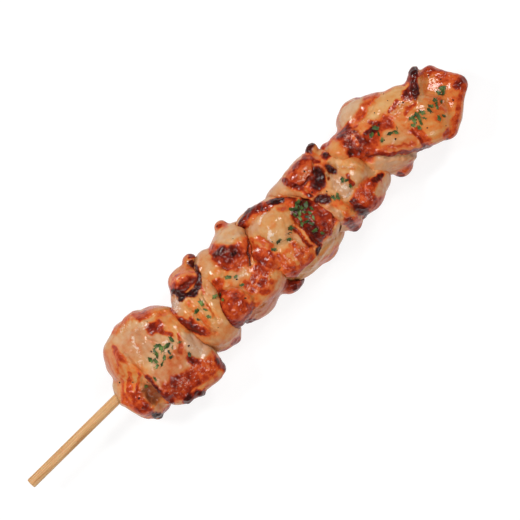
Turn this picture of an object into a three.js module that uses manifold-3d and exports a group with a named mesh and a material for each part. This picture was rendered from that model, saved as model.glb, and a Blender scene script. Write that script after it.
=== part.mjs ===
// Grilled chicken kebab: six folded pieces of thigh meat threaded on a round wooden stick.
// All sizes in millimetres. X runs along the stick from its bare end, Y across it, Z up from the table.
import * as THREE from "three";
import { mergeVertices } from "three/addons/utils/BufferGeometryUtils.js";
import Module from "manifold-3d";

const wasm = await Module();
wasm.setup();

// Stick
const stickDiameter = 3.6;
const stickLength = 181; // it ends inside the last piece
const stickPoint = 8; // length of its sharpened end
const stickChamfer = 0.4; // round the sawn bare end
const stickSides = 20;
const stickHeight = 12.8; // of its axis above the table

// Meat
const fitGap = 0.3; // left between neighbours and round the stick
const facetEdge = 3.8; // edge of a facet on the folds
const swellDepth = 0.5; // of the soft unevenness of the meat
const tableReach = 260; // of the block below that gives each piece its flat resting spot

// Chopped parsley
const flakeLength = 2.3;
const flakeWidth = 1.2;
const flakeThick = 0.8;
const flakeSunk = 0.45; // share of its thickness below the surface of the meat
const goldenAngle = Math.PI * (3 - Math.sqrt(5));

// Each piece is a bundle of folds grown together. A fold has its middle (along, across, up),
// its length, width and height, and where needed its turns in degrees (yaw, pitch, roll),
// how square it is (2 is an ellipsoid), the taper to its far end and the bend along its length.
const pieces = [
  {
    name: "chicken_1",
    colour: 0xc98f62,
    folds: [
      { at: [62.2, -0.8, 12.4], size: [27, 30.4, 25.4], yaw: -8, square: 2.8 },
      { at: [55.6, 5.5, 12], size: [22.6, 23.6, 25] },
      { at: [46.4, -4.4, 11.2], size: [19.5, 12, 19.5], yaw: 98 },
      { at: [66.3, 11, 13], size: [19, 9.6, 19.5], yaw: -24 },
      { at: [63.8, -10.2, 14], size: [23.4, 16, 17.4], yaw: -12, roll: 20, square: 3.2 },
      { at: [49.5, -11.3, 8], size: [8.6, 6.6, 11] },
      { at: [46.2, -13.2, 6.5], size: [3.4, 3, 4.5] },
      { at: [59.5, -15, 6.5], size: [8, 6, 9] },
      { at: [61.8, -17, 5.5], size: [4.5, 4.5, 6.5] },
      { at: [69.6, 0.5, 13.8], size: [9.6, 20, 22.4], square: 2.4 },
    ],
    parsley: [
      { at: [61.6, 0.2], spread: [4.8, 3.6], count: 11 },
      { at: [53, -3.9], spread: [3.4, 0.6], count: 2 },
      { at: [68.3, -1], spread: [1, 5.6], count: 3 },
    ],
  },
  {
    name: "chicken_2",
    colour: 0xb87445,
    folds: [
      { at: [82, 0, 12], size: [19.5, 27, 24.4], yaw: -8, square: 2.2 },
      { at: [84, 12, 13.5], size: [12.5, 10.4, 18] },
      { at: [84.3, 8.2, 20], size: [13, 3.2, 4.6], bend: 120 },
      { at: [76.3, 0.5, 14.5], size: [18, 7.5, 19], yaw: -72 },
      { at: [82, 0.5, 16.4], size: [18, 8.5, 16], yaw: -78 },
      { at: [88.4, 4.5, 15], size: [15, 6, 16], yaw: 66 },
      { at: [80.5, -9, 10], size: [14, 11.4, 18] },
      { at: [82.5, -13.6, 9], size: [4.2, 3, 5] },
      { at: [90.2, 16, 13], size: [5, 4, 7] },
    ],
    parsley: [{ at: [81.5, 0.8], spread: [3.2, 3.8], count: 5 }],
  },
  {
    name: "chicken_3",
    colour: 0xa9562c,
    folds: [
      { at: [98.5, 0, 12], size: [25, 27, 24.6], square: 2.3 },
      { at: [90.4, -5.7, 14.6], size: [14.4, 13.6, 19], square: 2.3 },
      { at: [94, 6.8, 13.6], size: [13, 18.4, 21], yaw: 6 },
      { at: [103, 8, 15.4], size: [15, 12.4, 17.4], yaw: -35, square: 2.3 },
      { at: [100.3, 8.2, 19.6], size: [8.6, 8.4, 10] },
      { at: [104, 11.3, 11.5], size: [17, 10, 19] },
      { at: [105.2, 16.8, 11.5], size: [4.8, 4.2, 7] },
      { at: [102, -4.6, 14], size: [18, 17, 20], square: 2.5 },
      { at: [97.5, -10.5, 8.5], size: [20, 9, 16] },
      { at: [109.5, -13.6, 7], size: [9, 6, 10] },
    ],
    parsley: [
      { at: [88.8, 0.6], spread: [1.8, 1.9], count: 3 },
      { at: [96.6, 1.4], spread: [2.2, 3.6], count: 3 },
    ],
  },
  {
    name: "chicken_4",
    colour: 0xcf9159,
    folds: [
      { at: [120.5, -1.2, 12], size: [29, 27.6, 25], square: 2.3 },
      { at: [118, 3.2, 15.4], size: [22, 20.4, 22.4], yaw: -15 },
      { at: [118, 11.2, 15.4], size: [20, 4.8, 8.4], yaw: -20, bend: -40 },
      { at: [109, -1, 14], size: [12.5, 15, 20], yaw: 20 },
      { at: [115.4, -7.6, 14], size: [14.5, 13, 19], yaw: -10 },
      { at: [129, -4, 15.2], size: [14.4, 17.6, 20], yaw: 10, square: 2.6 },
      { at: [122.3, -4.5, 16.8], size: [14, 5, 14], yaw: 76 },
      { at: [122, -11, 8.5], size: [27, 10, 17] },
      { at: [125, -14.4, 7], size: [10, 4.8, 8] },
    ],
    parsley: [
      { at: [127.6, 0.8], spread: [2.7, 4.2], count: 10 },
      { at: [118.4, -0.9], spread: [6, 1.8], count: 5 },
      { at: [127.4, -8.4], spread: [0.8, 3.8], count: 2 },
    ],
  },
  {
    name: "chicken_5",
    colour: 0xb9653a,
    folds: [
      { at: [141.6, -1.4, 12], size: [28, 26.8, 24.6], square: 2.4 },
      { at: [136.7, 9.6, 14], size: [15.4, 10.4, 18.4], yaw: 6, square: 2.8 },
      { at: [128.5, 10, 10.5], size: [16, 8.8, 18], yaw: 4 },
      { at: [144.2, 13.2, 16.5], size: [6.6, 4, 5.6], yaw: 35 },
      { at: [146.5, 8.7, 20], size: [3.2, 3.2, 4] },
      { at: [145, 4.6, 23], size: [3.4, 3.4, 4] },
      { at: [135.5, 4.2, 16.4], size: [9, 7, 14] },
      { at: [140, 4.5, 17], size: [8, 11, 15], yaw: -30 },
      { at: [147, -1, 15.4], size: [15, 14, 19.6], yaw: -12, square: 2.3 },
      { at: [147.6, -9.4, 13.4], size: [17, 12.4, 20.6], yaw: 8 },
      { at: [138, -6, 14], size: [11, 15.4, 20.4] },
      { at: [137.8, -13.6, 9.5], size: [5.6, 6.2, 8] },
      { at: [153, -7.6, 10.5], size: [11.4, 12.4, 17] },
    ],
    parsley: [
      { at: [139.6, -2.9], spread: [1.7, 0.9], count: 3 },
      { at: [145.4, -1.6], spread: [0.9, 2.4], count: 3 },
    ],
  },
  {
    name: "chicken_6",
    colour: 0xd07a3c,
    folds: [
      { at: [167, 0.5, 11.4], size: [37, 23, 23.6] },
      { at: [171.5, -1.3, 15], size: [34, 18.6, 16.4], yaw: -33, square: 3 },
      { at: [173, 4.6, 14.6], size: [25, 13.6, 17], yaw: -17 },
      { at: [169.5, 9.8, 13.4], size: [18, 9, 16], yaw: -30 },
      { at: [163.3, 11.2, 11], size: [14.5, 11.6, 19] },
      { at: [185.4, -4.8, 13.2], size: [23.5, 17.5, 9.6], yaw: 35, pitch: 10, square: 3.8 },
      { at: [184.2, 4.8, 16.8], size: [13.6, 4.8, 8.4], yaw: 47 },
      { at: [164.8, -7, 10], size: [16, 11.5, 18] },
      { at: [163, -12, 8], size: [7.4, 5.4, 8.5] },
      { at: [152.6, 6.6, 14], size: [12, 11.4, 20] },
      { at: [148.7, 11, 14], size: [4, 3.2, 6] },
      { at: [157.5, 4.5, 15.6], size: [12, 15, 17], yaw: 24 },
    ],
    parsley: [
      { at: [163.4, 2], spread: [2.6, 3], count: 4 },
      { at: [168.6, -1.1], spread: [2.6, 0.7], count: 3 },
      { at: [176.6, -4], spread: [3.2, 2.6], count: 9 },
      { at: [184.2, -4.3], spread: [3, 1.7], count: 6 },
      { at: [189.3, -2.7], spread: [2, 1], count: 4 },
      { at: [183.2, -8.9], spread: [1.5, 0.8], count: 2 },
    ],
  },
];

// A piece gives way to the neighbours pressed over it.
const pressedBy = {
  chicken_1: ["chicken_2"],
  chicken_2: ["chicken_3"],
  chicken_3: ["chicken_4"],
  chicken_5: ["chicken_4", "chicken_6"],
};

function asSolid(geometry) {
  const bare = geometry.clone();
  bare.deleteAttribute("normal");
  bare.deleteAttribute("uv");
  const merged = mergeVertices(bare, 1e-4);
  const mesh = new wasm.Mesh({
    numProp: 3,
    vertProperties: new Float32Array(merged.getAttribute("position").array),
    triVerts: new Uint32Array(merged.getIndex().array),
  });
  return new wasm.Manifold(mesh);
}

function asGeometry(solid) {
  const mesh = solid.getMesh();
  const geometry = new THREE.BufferGeometry();
  geometry.setAttribute("position", new THREE.BufferAttribute(mesh.vertProperties, 3));
  geometry.setIndex(new THREE.BufferAttribute(mesh.triVerts, 1));
  geometry.computeVertexNormals();
  return geometry;
}

function swell(point, seed) {
  const along = Math.sin(0.62 * point.x + 0.35 * point.y + seed);
  const across = Math.sin(0.55 * point.y - 0.4 * point.z + 2.1 * seed);
  const up = Math.sin(0.58 * point.z + 0.33 * point.x + 3.7 * seed);
  return (along + across + up) / 3;
}

// Curls a fold in plan, its two ends turning by half the bend each.
function bendPoint(point, length, degrees) {
  const radius = length / THREE.MathUtils.degToRad(degrees);
  const angle = point.x / radius;
  const arm = radius - point.y;
  point.x = arm * Math.sin(angle);
  point.y = radius - arm * Math.cos(angle);
}

function foldGeometry(fold, seed, grow) {
  const half = fold.size.map((side) => side / 2 + grow);
  const meanSize = Math.cbrt(fold.size[0] * fold.size[1] * fold.size[2]);
  const detail = Math.max(1, Math.round((0.6 * meanSize) / facetEdge) - 1);
  const geometry = new THREE.IcosahedronGeometry(1, detail);
  const square = fold.square ?? 2;
  const position = geometry.getAttribute("position");
  const point = new THREE.Vector3();
  const outward = new THREE.Vector3();
  for (let i = 0; i < position.count; i += 1) {
    point.fromBufferAttribute(position, i).normalize();
    outward.copy(point);
    const sum = Math.abs(point.x) ** square + Math.abs(point.y) ** square + Math.abs(point.z) ** square;
    point.multiplyScalar(sum ** (-1 / square));
    point.y *= 1 + (fold.taper ?? 0) * point.x;
    point.set(point.x * half[0], point.y * half[1], point.z * half[2]);
    point.addScaledVector(outward, swellDepth * Math.min(1, meanSize / 12) * swell(point, seed));
    if (fold.bend) {
      bendPoint(point, fold.size[0], fold.bend);
    }
    position.setXYZ(i, point.x, point.y, point.z);
  }
  const [roll, pitch, yaw] = [fold.roll, fold.pitch, fold.yaw].map((turn) => THREE.MathUtils.degToRad(turn ?? 0));
  const turned = new THREE.Matrix4().makeRotationFromEuler(new THREE.Euler(roll, pitch, yaw, "ZYX"));
  geometry.applyMatrix4(turned.setPosition(...fold.at));
  return geometry;
}

function bundleOfFolds(piece, grow = 0) {
  const solids = piece.folds.map((fold, i) => asSolid(foldGeometry(fold, i + 1, grow)));
  return wasm.Manifold.union(solids);
}

function largestBody(solid) {
  const bodies = solid.decompose();
  bodies.sort((a, b) => b.volume() - a.volume());
  return bodies[0];
}

// A round rod along X from its sawn end to its point.
function stickGeometry(grow) {
  const radius = stickDiameter / 2 + grow;
  const profile = [
    new THREE.Vector2(0, -grow),
    new THREE.Vector2(radius - stickChamfer, -grow),
    new THREE.Vector2(radius, stickChamfer - grow),
    new THREE.Vector2(radius, stickLength - stickPoint),
    new THREE.Vector2(0.4 + grow, stickLength + grow),
    new THREE.Vector2(0, stickLength + grow),
  ];
  const rod = new THREE.LatheGeometry(profile, stickSides);
  rod.rotateZ(-Math.PI / 2);
  rod.translate(0, 0, stickHeight);
  return rod;
}

// An uneven leaf scrap lying in XY.
function flakeGeometry(scale) {
  const outline = new THREE.Shape();
  const corners = [
    [-0.5, -0.1],
    [-0.2, -0.5],
    [0.22, -0.3],
    [0.5, 0.06],
    [0.12, 0.5],
    [-0.3, 0.3],
  ];
  outline.setFromPoints(corners.map(([x, y]) => new THREE.Vector2(x * flakeLength * scale, y * flakeWidth * scale)));
  const flake = new THREE.ExtrudeGeometry(outline, { depth: flakeThick, bevelEnabled: false });
  return flake.translate(0, 0, -flakeThick * flakeSunk);
}

// Scatters the flakes of a patch over the top of a piece, each lying on the meat under it.
function parsleyOn(piece, solid) {
  const meat = new THREE.Mesh(asGeometry(solid), new THREE.MeshStandardMaterial());
  const caster = new THREE.Raycaster();
  const down = new THREE.Vector3(0, 0, -1);
  const flakes = [];
  for (const patch of piece.parsley) {
    for (let k = 0; k < patch.count; k += 1) {
      const reach = Math.sqrt((k + 0.5) / patch.count);
      const x = patch.at[0] + patch.spread[0] * reach * Math.cos(k * goldenAngle);
      const y = patch.at[1] + patch.spread[1] * reach * Math.sin(k * goldenAngle);
      caster.set(new THREE.Vector3(x, y, 60), down);
      const [hit] = caster.intersectObject(meat);
      const flake = flakeGeometry(0.75 + 0.5 * ((k * 0.618) % 1));
      flake.rotateZ(k * 1.9 + patch.at[0]);
      const lie = new THREE.Quaternion().setFromUnitVectors(new THREE.Vector3(0, 0, 1), hit.face.normal);
      flake.applyQuaternion(lie);
      flake.translate(hit.point.x, hit.point.y, hit.point.z);
      flakes.push(asSolid(flake));
    }
  }
  return flakes;
}

function pieceSolid(piece, order) {
  const nextTo = [pieces[order - 1], pieces[order + 1]].filter(Boolean);
  const grown = new Map(nextTo.map((other) => [other.name, bundleOfFolds(other, fitGap)]));
  const pressing = (pressedBy[piece.name] ?? []).map((name) => grown.get(name));
  const meat = largestBody(wasm.Manifold.difference([bundleOfFolds(piece), ...pressing]));
  const parsley = wasm.Manifold.difference([wasm.Manifold.union(parsleyOn(piece, meat)), ...grown.values()]);
  const dressed = wasm.Manifold.union([meat, parsley]);
  return largestBody(wasm.Manifold.difference([dressed, bore, table]));
}

const bore = asSolid(stickGeometry(fitGap));
const table = asSolid(new THREE.BoxGeometry(tableReach * 2, tableReach, tableReach).translate(0, 0, -tableReach / 2));

const kebab = new THREE.Group();
kebab.name = "kebab";

const stick = new THREE.Mesh(
  asGeometry(asSolid(stickGeometry(0))),
  new THREE.MeshStandardMaterial({ color: 0xdfb07c, roughness: 0.7 }),
);
stick.name = "stick";
kebab.add(stick);

pieces.forEach((piece, order) => {
  const mesh = new THREE.Mesh(
    asGeometry(pieceSolid(piece, order)),
    new THREE.MeshStandardMaterial({ color: piece.colour, roughness: 0.45 }),
  );
  mesh.name = piece.name;
  kebab.add(mesh);
});

// The part's origin is under the middle of the whole kebab.
const reach = new THREE.Box3().setFromObject(kebab, true);
const middle = reach.getCenter(new THREE.Vector3());
kebab.position.set(-middle.x, -middle.y, -reach.min.z);

const part = new THREE.Group();
part.add(kebab);
export default part;
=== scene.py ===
# Grilled chicken kebab: six browned pieces of thigh meat on a bamboo stick, with parsley and pepper.
import itertools
import math
import bmesh
import bpy
import numpy as np
from mathutils import Euler, Matrix, Vector
from mathutils.bvhtree import BVHTree


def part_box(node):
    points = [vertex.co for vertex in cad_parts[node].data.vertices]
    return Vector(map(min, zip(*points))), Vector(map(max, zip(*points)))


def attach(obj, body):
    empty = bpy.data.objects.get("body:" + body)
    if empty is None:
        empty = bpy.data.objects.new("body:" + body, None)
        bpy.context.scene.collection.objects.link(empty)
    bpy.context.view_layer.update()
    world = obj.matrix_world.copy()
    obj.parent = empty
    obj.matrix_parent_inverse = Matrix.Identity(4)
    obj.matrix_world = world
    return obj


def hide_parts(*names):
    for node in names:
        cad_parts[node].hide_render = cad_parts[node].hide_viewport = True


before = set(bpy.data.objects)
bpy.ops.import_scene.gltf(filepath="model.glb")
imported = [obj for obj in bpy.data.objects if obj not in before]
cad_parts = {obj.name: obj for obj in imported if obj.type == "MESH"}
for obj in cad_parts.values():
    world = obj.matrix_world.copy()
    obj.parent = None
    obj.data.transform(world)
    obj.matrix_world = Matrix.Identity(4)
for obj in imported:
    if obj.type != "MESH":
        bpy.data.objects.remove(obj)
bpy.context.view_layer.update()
print("frame loaded")

mm = 0.001
stickLow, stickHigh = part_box("stick")
home = Vector((stickLow.x, (stickLow.y + stickHigh.y) / 2, 0.0))  # table under the stick's bare end
goldenAngle = math.pi * (3 - math.sqrt(5))


def placed(along, across, up):  # stick millimetres to the frame's metres
    return home + Vector((along, across, up)) * mm


def linear(hexValue):
    parts = [int(hexValue[i:i + 2], 16) / 255 for i in (1, 3, 5)]
    return [p / 12.92 if p <= 0.04045 else ((p + 0.055) / 1.055) ** 2.4 for p in parts] + [1.0]


def addNode(tree, kind, inputs=None, stops=None, **settings):
    node = tree.nodes.new(kind)
    for key, value in settings.items():
        setattr(node, key, value)
    for key, value in (inputs or {}).items():
        if isinstance(value, bpy.types.NodeSocket):
            tree.links.new(value, node.inputs[key])
        else:
            node.inputs[key].default_value = value
    if stops:
        ramp = node.color_ramp
        while len(ramp.elements) < len(stops):
            ramp.elements.new(0.5)
        for element, (place, colour) in zip(ramp.elements, stops):
            element.position = place
            element.color = linear(colour) if isinstance(colour, str) else (colour, colour, colour, 1)
    return node


def newMaterial(name):
    material = bpy.data.materials.new(name)
    material.use_nodes = True
    material.node_tree.nodes.clear()
    return material, material.node_tree


def meshOf(bm, name):
    mesh = bpy.data.meshes.new(name)
    bm.to_mesh(mesh)
    bm.free()
    return mesh


def addObject(name, mesh, material):
    mesh.materials.clear()
    mesh.materials.append(material)
    made = bpy.data.objects.new(name, mesh)
    bpy.context.collection.objects.link(made)
    return made


# Camera straight above, rolled so that the stick rises to the right as it does in the photograph
view = {"frameWidth": 173.33, "height": 1200.0, "level": 15.0, "aim": (106.97, -0.32), "rise": 44.5}


def setCamera():
    data = bpy.data.cameras.new("camera")
    data.sensor_width = 36
    data.lens = 36 * view["height"] / view["frameWidth"]
    data.clip_end = 20
    camera = bpy.data.objects.new("camera", data)
    camera.location = placed(*view["aim"], view["level"] + view["height"])
    camera.rotation_euler = (0, 0, -math.radians(view["rise"]))
    bpy.context.collection.objects.link(camera)
    bpy.context.scene.camera = camera


setCamera()
print("camera set")


# Soft value noise from -1 to 1, its lumps about size millimetres wide
def lumps(points, size, seed):
    cell = points / size
    base = np.floor(cell).astype(np.int64)
    part = cell - base
    part = part * part * (3 - 2 * part)
    total = np.zeros(len(points))
    for corner in itertools.product((0, 1), repeat=3):
        key = (base + corner) @ np.array([73856093, 19349663, 83492791]) + seed * 6542989
        key = ((key ^ (key >> 13)) * 1274126177) & 0xFFFFFFFF
        value = ((key ^ (key >> 16)) & 0xFFFF) / 32767.5 - 1
        total += value * np.prod(np.where(corner, part, 1 - part), axis=1)
    return total


def step(low, high, values):  # eases from 0 at low to 1 at high
    share = np.clip((values - low) / (high - low), 0, 1)
    return share * share * (3 - 2 * share)


# Each piece is a bundle of folds, as in the solids: middle (along, across, up), length, width, height,
# turns in degrees, squareness and bend. Strokes are laid on it from above, one over the other in each
# layer, with their level, width and path: how golden, brown and charred, pale fat specks that are partly
# painted highlights, and ridges and creases.
pieces = {
    "chicken_1": {
        "folds": [
            {"at": (62.2, -0.8, 12.4), "size": (27, 30.4, 25.4), "yaw": -8, "square": 2.8},
            {"at": (55.6, 5.5, 12), "size": (22.6, 23.6, 25)},
            {"at": (46.4, -4.4, 11.2), "size": (19.5, 12, 19.5), "yaw": 98},
            {"at": (66.3, 11, 13), "size": (19, 9.6, 19.5), "yaw": -24},
            {"at": (63.8, -10.2, 14), "size": (23.4, 16, 17.4), "yaw": -12, "roll": 20, "square": 3.2},
            {"at": (49.5, -11.3, 8), "size": (8.6, 6.6, 11)},
            {"at": (46.2, -13.2, 6.5), "size": (3.4, 3, 4.5)},
            {"at": (59.5, -15, 6.5), "size": (8, 6, 9)},
            {"at": (61.8, -17, 5.5), "size": (4.5, 4.5, 6.5)},
            {"at": (69.6, 0.5, 13.8), "size": (9.6, 20, 22.4), "square": 2.4},
        ],
        "pressedBy": ["chicken_2"],
        "parsley": [((61.6, 0.2), (4.8, 3.6), 14), ((53, -3.9), (3.4, 0.6), 2), ((68.3, -1), (1, 5.6), 3)],
        "grain": 75,
        "base": {"brown": 0.12, "gold": 0.4},
        "strokes": {
            "gold": [
                (0.85, 14, (47, -6), (50, 6)), (0.5, 9, (47, 8), (49, 12)), (1, 4, (50.5, 3), (46, -1)),
                (0.05, 5, (50, -5), (50, -9.5)), (1, 4, (48.5, -12.4), (52, -12)),
                (0.1, 9, (57, 8), (60, 8)), (0.05, 7, (55.5, -4.6), (66, -4.6)),
                (0.9, 7, (63, -14), (72, -14)), (0.7, 4, (57, 17), (66, 16)),
                (0.9, 8, (70, 9.4), (71.4, 3)), (0.1, 6, (71.6, -3.6), (72, -8)),
            ],
            "brown": [
                (0.38, 8, (46.5, 6), (50, 12)), (0.38, 9, (50.5, 4), (45, -2)),
                (0.58, 8, (45.4, -4), (46, -10)), (0.5, 1.6, (42, -1), (47, 4)),
                (0.58, 1.4, (42.4, -3.4), (50, 3.5)), (0.3, 1, (44, 0), (51, 6)),
                (0.6, 1.2, (44, -5), (51.6, 1)), (0.34, 0.9, (47, -1.6), (52, 2.6)),
                (0.52, 1, (47, 6), (50.6, 9)), (0.7, 2.4, (45.5, -4.2), (46.6, -3.4)),
                (0.68, 3, (44.4, -8), (46.4, -11.4)), (0.66, 2, (51.8, 13), (51.6, 9.4), (52.4, 7)),
                # the wide stroke from (50, -5) to (50, -9.5) browns the pocket between strap and flap: partly
                # real browning, partly painted shade of that recess
                (0.4, 1.2, (52.6, 7), (52.6, 0)), (0.4, 5, (50, -5), (50, -9.5)),
                (0.34, 4, (48.5, -12.4), (52, -12)), (0.6, 1.2, (48, -14.2), (53, -13.6)),
                (0.25, 9, (57, 8), (60, 8)), (0.36, 6.4, (55.5, -4.4), (67, -4.2)),
                (0.62, 8, (56, -11), (64, -12.6), (71, -14)), (0.58, 6, (70.6, -11.6), (72, -15.6)),
                (0.7, 3, (57, -9), (63, -11)), (0.78, 2.4, (58.4, -8.2), (60, -8.6)),
                (0.8, 2.6, (67.4, -7.6), (68.2, -9.6)), (0.7, 3, (55, -12.4), (60, -14.6)),
                (0.82, 1.8, (53, -1.4), (52.7, -7), (53.2, -13)), (0.9, 2.8, (56.6, -16.4), (59, -16.8)),
                (0.95, 2.2, (61, -17.6), (62.4, -18.4)), (0.42, 2, (64.4, -18.4), (71, -18.2)),
                (0.85, 2, (73.6, -14.6), (73.4, -18)), (0.44, 3.2, (56, 16.8), (64, 16.8)),
                (0.62, 3, (65, 14.6), (70, 12.8)), (0.5, 2, (69, 14), (72.5, 11.6)),
                (0.34, 7, (70.4, 9.4), (71.4, 4)), (0.46, 2, (69.6, 10), (73.6, 9)),
                (0.72, 4, (65.6, 8.6), (67, 8)), (0.82, 2, (65.4, 8.4), (66.4, 8)),
                (0.68, 1.8, (66.8, 6.4), (68.4, 2.6)),
                (0.6, 1.4, (70.8, 1.2), (69.6, -1.6), (66.6, -3.6)), (0.12, 5.4, (71.6, -3.6), (72, -8)),
                (0.4, 2, (73.6, 2), (74.4, -4)),
            ],
            "char": [
                # the first stroke chars the same pocket: partly real char, partly painted shade of that
                # recess
                (0.4, 4, (49.4, -4.6), (50, -9)), (1, 2.4, (45.8, -13), (46.8, -13.8)),
                (0.45, 2, (56.6, -16.4), (58, -16.8)),
            ],
            "fat_and_highlight": [
                (0.5, 1.5, (56.4, 4.6), (58.6, 10.4)), (0.42, 1.6, (57.6, 14.8), (60.4, 14.8)),
                (0.45, 2.4, (61.6, 12), (65, 10.4)), (0.45, 2.2, (65.4, 2), (66.4, -1)),
                (0.35, 2, (70.6, -4), (72, -8)), (0.2, 5, (57, -10.6), (71, -13)),
            ],
            "height": [
                (1, 3.4, (56.6, 17), (64, 16.6)), (0.9, 2.2, (41.4, -2.2)), (0.9, 2.6, (57.4, -16.6)),
                (0.9, 2.2, (62, -18.4)), (0.9, 2.4, (73.2, -17.8)),
                (-2.2, 3.8, (49.2, -4.6), (50.4, -9.4)), (0.9, 1.6, (53.2, -2), (53, -12.6)),
                (0.6, 2, (73.6, 8), (73.2, 0), (74.2, -9)), (-0.9, 1.2, (52.9, 10), (52.6, 1)),
                (-0.8, 1.4, (52.4, 0), (48.2, -3.2), (47.4, -10)), (0.6, 2.4, (56.6, 3), (58.8, 11)),
                (-0.5, 1.6, (60.6, 3), (61.6, 12)), (0.8, 3.4, (65.6, 8.6), (67.4, 7)),
                (-0.7, 1.4, (63, 7), (65, 4), (69, 5)), (-0.7, 1.2, (69.6, 4), (69.4, -2), (66, -3.6)),
                (-0.6, 1.2, (66, 12.4), (72, 9.4)),
            ],
        },
    },
    "chicken_2": {
        "folds": [
            {"at": (82, 0, 12), "size": (19.5, 27, 24.4), "yaw": -8, "square": 2.2},
            {"at": (84, 12, 13.5), "size": (12.5, 10.4, 18)},
            {"at": (84.3, 8.2, 20), "size": (13, 3.2, 4.6), "bend": 120},
            {"at": (76.3, 0.5, 14.5), "size": (18, 7.5, 19), "yaw": -72},
            {"at": (82, 0.5, 16.4), "size": (18, 8.5, 16), "yaw": -78},
            {"at": (88.4, 4.5, 15), "size": (15, 6, 16), "yaw": 66},
            {"at": (80.5, -9, 10), "size": (14, 11.4, 18)},
            {"at": (82.5, -13.6, 9), "size": (4.2, 3, 5)},
            {"at": (90.2, 16, 13), "size": (5, 4, 7)},
        ],
        "pressedBy": ["chicken_3"],
        "parsley": [((81.5, 0.8), (3.2, 3.8), 5)],
        "grain": 100,
        "base": {"brown": 0.3, "gold": 0.75},
        "strokes": {
            "gold": [
                (0.05, 4, (76, 7), (77, 9)), (0.95, 9, (82, 5), (82, -3)),
                (0.55, 8, (78.6, -9.6), (83, -9.6)), (1, 6, (81, 14), (86.6, 14)),
                (0.6, 3, (88.4, 17), (91, 17)), (0.5, 4, (87, 4), (90.6, 9)),
            ],
            "brown": [
                (0.16, 4, (76, 7), (77, 9)), (0.58, 2.6, (74, 8.6), (73.6, 2)),
                (0.84, 3, (74.4, 3), (75.8, -1), (78, -6)), (0.66, 1.2, (77, 2), (78.4, -3)),
                (0.24, 8, (82, 5), (82, -3)), (0.38, 1.4, (80.4, 6), (80.6, -4)),
                (0.4, 1, (84.4, 2.4), (83, -2.6)), (0.44, 1, (79, 3), (79.4, -5)),
                (0.3, 8, (78.6, -9.6), (83, -9.6)), (0.62, 1.8, (80.6, -14), (83, -14.2)),
                (0.52, 1.4, (75.6, -13.4), (78.6, -13.8)), (0.44, 6, (81, 14), (86.6, 14)),
                (0.64, 2.6, (78.4, 13.4), (80, 13.6)), (0.6, 1.6, (82, 15.6), (84.6, 15.4)),
                (0.62, 1.6, (82, 12.8), (86, 12.6)), (0.86, 2.6, (80.8, 11), (86.6, 10.6)),
                (0.4, 3, (88, 16.8), (90, 17)), (0.85, 1.6, (91, 17), (91.8, 16.4)),
                (0.24, 4, (86.6, 3.4), (90.6, 9)), (0.5, 1, (86, 5), (87.6, 8)),
            ],
            "char": [
                (0.95, 2.1, (79.4, 12), (80.4, 9.2), (82.6, 7.6), (85, 7.6), (87.4, 8.4)),
                (0.8, 2, (87.4, 8.4), (89, 10.4), (90, 13), (89.6, 15.2)), (1, 1.8, (79, 8.8)),
            ],
            "fat_and_highlight": [
                (0.55, 2.6, (75.8, 7.2), (77, 9)), (0.25, 1.4, (80.8, 11.2), (82, 10.8)),
                (0.25, 1.4, (84, 10.8), (85.6, 10.6)), (0.35, 1.2, (82.6, 14.6), (84.4, 13.6)),
                (0.35, 1, (87.4, 3.6), (90.4, 8)),
            ],
            "height": [
                (0.7, 2.6, (79.4, 12), (80.4, 9.2), (82.6, 7.6), (85, 7.6), (87.4, 8.4), (89, 10.4),
                 (90, 13)),
                (-0.9, 2, (82, 11), (86.4, 10.6)), (0.5, 2, (73.8, 8), (73.6, 0), (75, -9)),
                (0.6, 2.4, (74.4, 4), (75.8, -0.6), (78, -6)), (0.7, 2.2, (90.2, 13), (89.4, 7), (88, 2)),
                (-0.8, 1, (78.6, 6), (78.8, -4), (79.6, -7)), (-0.6, 0.9, (81, 6.4), (81.2, -6)),
                (-0.6, 0.9, (85.4, 5), (83.2, -4)), (0.5, 1.4, (86.8, 3.4), (90.4, 8.4)),
            ],
        },
    },
    "chicken_3": {
        "folds": [
            {"at": (98.5, 0, 12), "size": (25, 27, 24.6), "square": 2.3},
            {"at": (90.4, -5.7, 14.6), "size": (14.4, 13.6, 19), "square": 2.3},
            {"at": (94, 6.8, 13.6), "size": (13, 18.4, 21), "yaw": 6},
            {"at": (103, 8, 15.4), "size": (15, 12.4, 17.4), "yaw": -35, "square": 2.3},
            {"at": (100.3, 8.2, 19.6), "size": (8.6, 8.4, 10)},
            {"at": (104, 11.3, 11.5), "size": (17, 10, 19)},
            {"at": (105.2, 16.8, 11.5), "size": (4.8, 4.2, 7)},
            {"at": (102, -4.6, 14), "size": (18, 17, 20), "square": 2.5},
            {"at": (97.5, -10.5, 8.5), "size": (20, 9, 16)},
            {"at": (109.5, -13.6, 7), "size": (9, 6, 10)},
        ],
        "pressedBy": ["chicken_4"],
        "parsley": [((88.8, 0.6), (1.8, 1.9), 3), ((96.6, 1.4), (2.2, 3.6), 3)],
        "grain": 20,
        "base": {"brown": 0.34, "gold": 0.7},
        "strokes": {
            "gold": [
                (0.4, 8, (93.4, 10), (93.4, 13)), (0.9, 6, (91, 5), (95.6, 5.6)),
                (0.9, 3, (95.6, -8), (97.4, -9)), (0.3, 4, (97.4, 1.4), (99.6, 1)),
                (0.1, 4, (105.6, -10.6), (109, -10.8)), (0.15, 3, (89, -13.2), (104, -13.2)),
                (0.6, 6, (104, 13), (110, 11.6)),
            ],
            "brown": [
                (0.2, 7.4, (93.4, 10), (93.4, 13)), (0.32, 5, (91, 5.4), (95.6, 5.6)),
                (0.6, 3, (89.6, 2.4), (91.8, 3.8)), (0.64, 11.6, (89.6, -6), (91.4, -6)),
                (0.84, 2, (87.4, 0), (84.8, -4), (85.4, -8.6), (88.4, -11.4)),
                (0.74, 2, (88.4, -11.4), (94, -11.4)), (0.58, 3, (89.6, -7), (91, -8)),
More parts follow.
